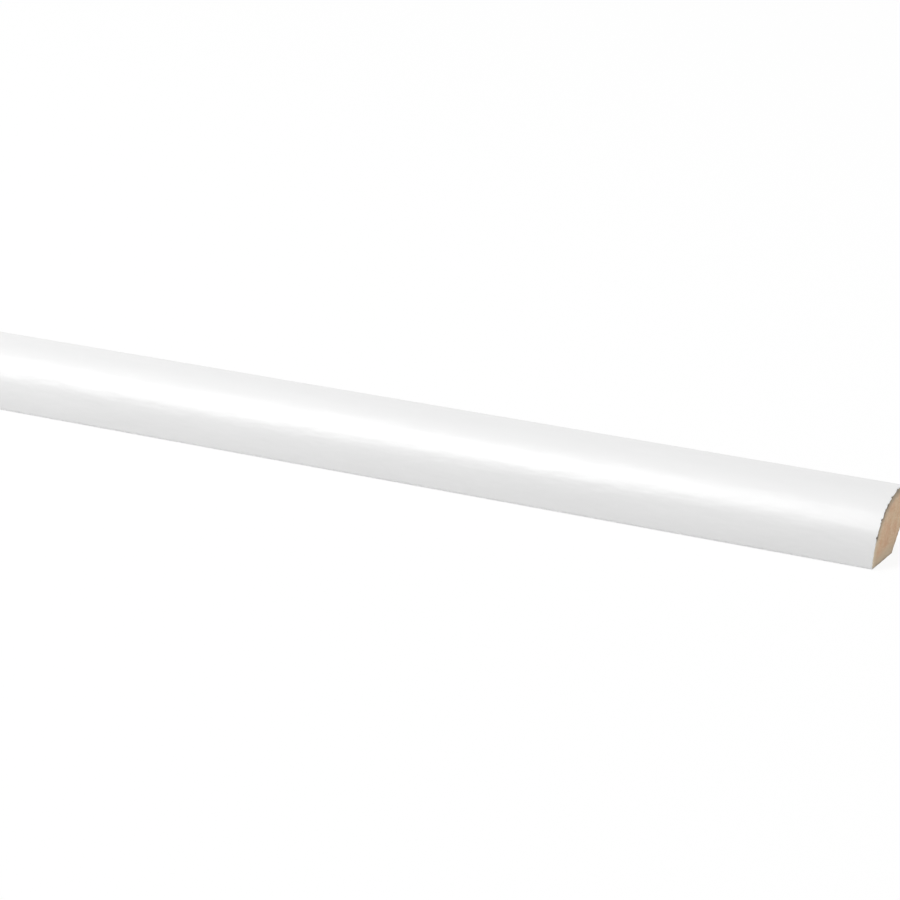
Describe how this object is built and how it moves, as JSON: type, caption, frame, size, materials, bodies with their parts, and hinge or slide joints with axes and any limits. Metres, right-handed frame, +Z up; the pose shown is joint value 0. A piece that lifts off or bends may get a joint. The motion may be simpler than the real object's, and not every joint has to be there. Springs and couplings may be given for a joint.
{
  "type": "quarter round moulding",
  "caption": "Straight white quarter round moulding with a rounded show face, flat floor and wall faces and a chamfered hidden corner, for covering the joint between floor and wall.",
  "frame": {"origin": "on the floor under the middle of the section, halfway along the length", "axes": "+X along the length, -Y towards the room and the round show face, +Y towards the wall, +Z up"},
  "size_m": [2.3876, 0.019, 0.0159],
  "materials": {
    "white_wrap": "satin",
    "raw_mdf": "matte"
  },
  "bodies": {
    "root": {"quarter_round_moulding": "white_wrap"}
  },
  "joints": []
}
